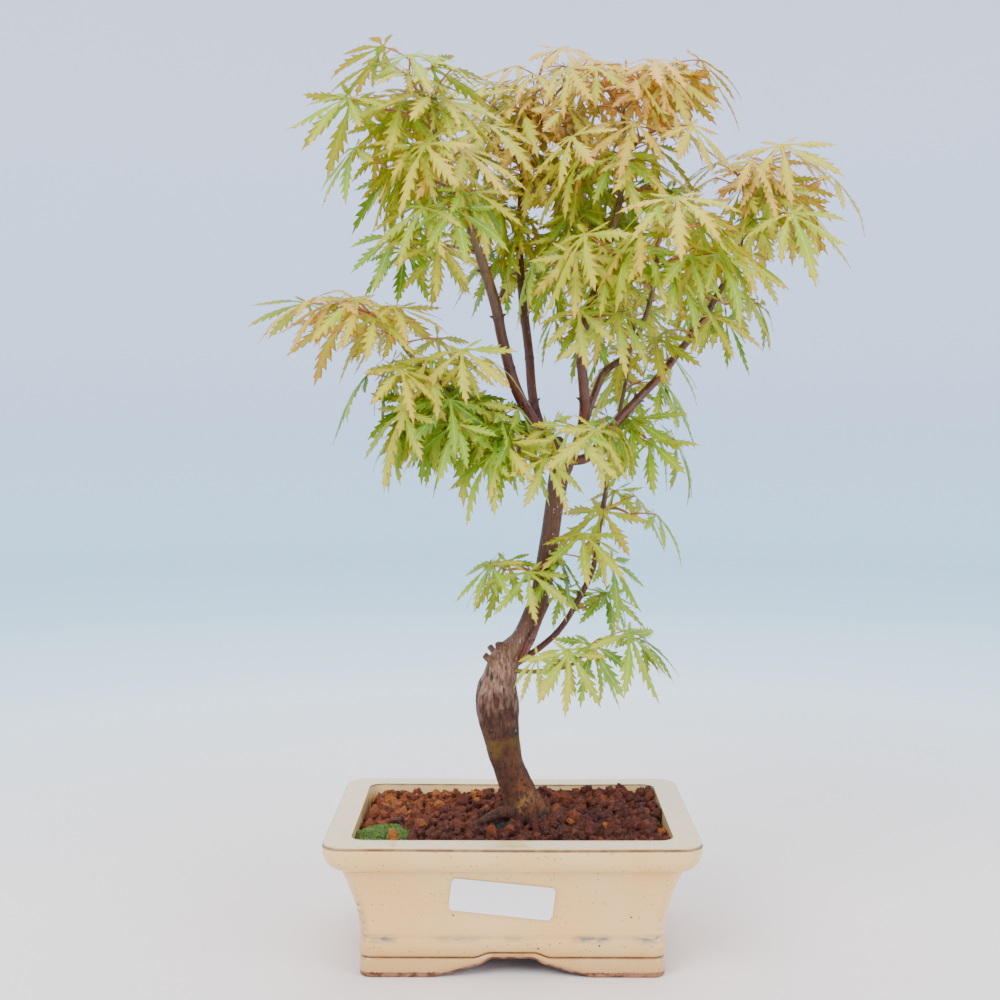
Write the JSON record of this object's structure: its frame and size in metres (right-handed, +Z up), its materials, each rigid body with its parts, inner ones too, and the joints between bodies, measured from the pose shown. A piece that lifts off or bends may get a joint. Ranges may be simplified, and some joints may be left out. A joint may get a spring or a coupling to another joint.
{
  "type": "potted bonsai maple",
  "caption": "Grafted laceleaf maple with a curved trunk and finely cut leaves, planted in a footed rectangular glazed pot; stands as a table ornament.",
  "frame": {"origin": "on the surface that the pot stands on, under the centre of the whole object's box", "axes": "+Z up along the tree, +X to the right along the pot's long side, +Y to the rear"},
  "size_m": [0.3038, 0.2094, 0.4609],
  "materials": {
    "glaze": "cream satin glaze with fine dark specks, brown where it breaks at the edges",
    "screen_plastic": "moulded mesh",
    "clip_wire": "drawn wire",
    "label_paper": "smooth white sticker",
    "peat": "dark peaty soil with fine roots",
    "akadama": "fired clay granules, dusty",
    "moss": "short upright moss",
    "dark_moss": "short moss in shade",
    "old_bark": "rough fissured bark",
    "bark": "smooth bark with lenticels",
    "young_bark": "smooth dark red young bark",
    "leaf": "thin soft leaf, translucent, reddish at the tips"
  },
  "bodies": {
    "root": {"pot": "glaze", "drain_screen_left": "screen_plastic", "drain_screen_right": "screen_plastic", "drain_clip_left": "clip_wire", "drain_clip_right": "clip_wire", "blank_label": "label_paper", "root_ball": "peat", "akadama_layer": "akadama", "moss_patch": "moss", "moss_tuft": "dark_moss", "rootstock_trunk": "old_bark", "scion_trunk": "bark", "left_leader": "young_bark", "rear_leader": "young_bark", "centre_leader": "young_bark", "right_leader": "young_bark", "centre_right_stem": "young_bark", "long_side_shoot": "young_bark", "low_side_shoot": "young_bark", "side_branch_left": "young_bark", "crown_left_spray": "leaf", "crown_left_top_spray": "leaf", "left_high_spray": "leaf", "left_inner_spray": "leaf", "left_middle_spray": "leaf", "left_rear_spray": "leaf", "left_low_spray": "leaf", "side_tip_spray": "leaf", "side_up_spray": "leaf", "side_low_spray": "leaf", "side_middle_spray": "leaf", "mass_front_spray": "leaf", "mass_left_spray": "leaf", "mass_rear_spray": "leaf", "mass_low_spray": "leaf", "fork_front_spray": "leaf", "right_low_spray": "leaf", "right_rear_spray": "leaf", "right_middle_spray": "leaf", "right_top_spray": "leaf", "right_node_spray": "leaf", "right_upper_spray": "leaf", "right_outer_spray": "leaf", "trunk_left_spray": "leaf", "shoot_front_spray": "leaf", "shoot_right_spray": "leaf", "low_front_spray": "leaf", "low_tip_spray": "leaf", "low_rear_spray": "leaf", "tip_top_spray": "leaf", "tip_right_spray": "leaf", "tip_front_spray": "leaf", "fore_right_spray": "leaf", "fore_left_spray": "leaf", "top_middle_spray": "leaf", "top_left_spray": "leaf", "top_right_spray": "leaf", "top_front_spray": "leaf", "rear_high_spray": "leaf", "rear_low_spray": "leaf"}
  },
  "joints": []
}
